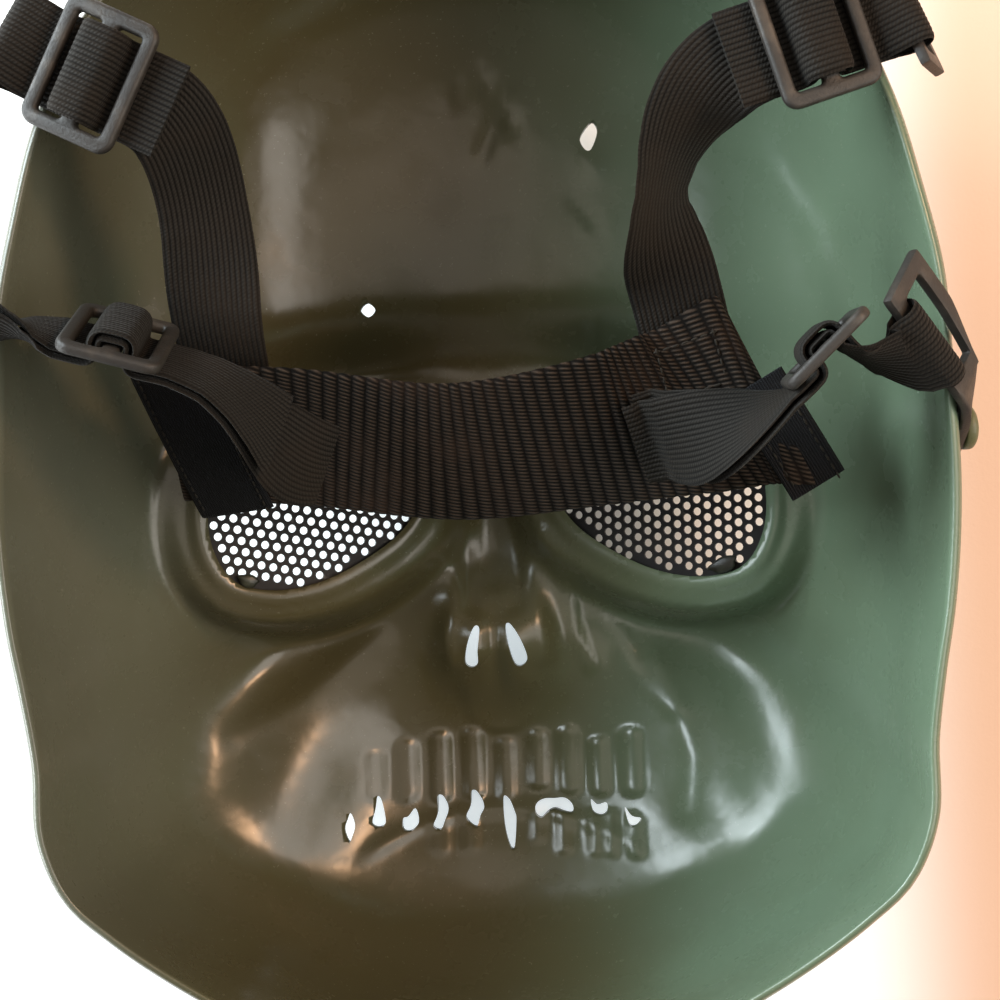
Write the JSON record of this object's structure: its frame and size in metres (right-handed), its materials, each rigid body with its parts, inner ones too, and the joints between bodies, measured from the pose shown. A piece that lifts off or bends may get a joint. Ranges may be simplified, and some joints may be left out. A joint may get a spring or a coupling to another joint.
{
  "type": "skull mask",
  "caption": "Full-face skull mask of olive plastic, face down, with mesh eyes and a webbing head harness on riveted rim buckles",
  "frame": {"origin": "middle of the bottom of the bounding box, on the plane that the mask rests on", "axes": "X to the wearer's right, Y from the chin to the forehead, Z out of the hollow, up"},
  "size_m": [0.221, 0.2644, 0.1256],
  "materials": {
    "olive_plastic": "moulded, glossy",
    "rivet_plastic": "satin",
    "fitting_plastic": "moulded, satin",
    "black_steel": "perforated sheet, black",
    "black_webbing": "ribbed webbing",
    "band_webbing": "cross-ribbed elastic"
  },
  "bodies": {
    "root": {"shell": "olive_plastic", "eye_mesh_right": "black_steel", "eye_mesh_left": "black_steel", "head_band": "band_webbing", "strap_upper_right": "black_webbing", "slider_upper_right": "fitting_plastic", "buckle_upper_right": "fitting_plastic", "rivet_upper_right": "rivet_plastic", "strap_upper_left": "black_webbing", "slider_upper_left": "fitting_plastic", "buckle_upper_left": "fitting_plastic", "rivet_upper_left": "rivet_plastic", "strap_lower_right": "black_webbing", "slider_lower_right": "fitting_plastic", "buckle_lower_right": "fitting_plastic", "rivet_lower_right": "rivet_plastic", "strap_lower_left": "black_webbing", "slider_lower_left": "fitting_plastic", "buckle_lower_left": "fitting_plastic", "rivet_lower_left": "rivet_plastic"}
  },
  "joints": []
}
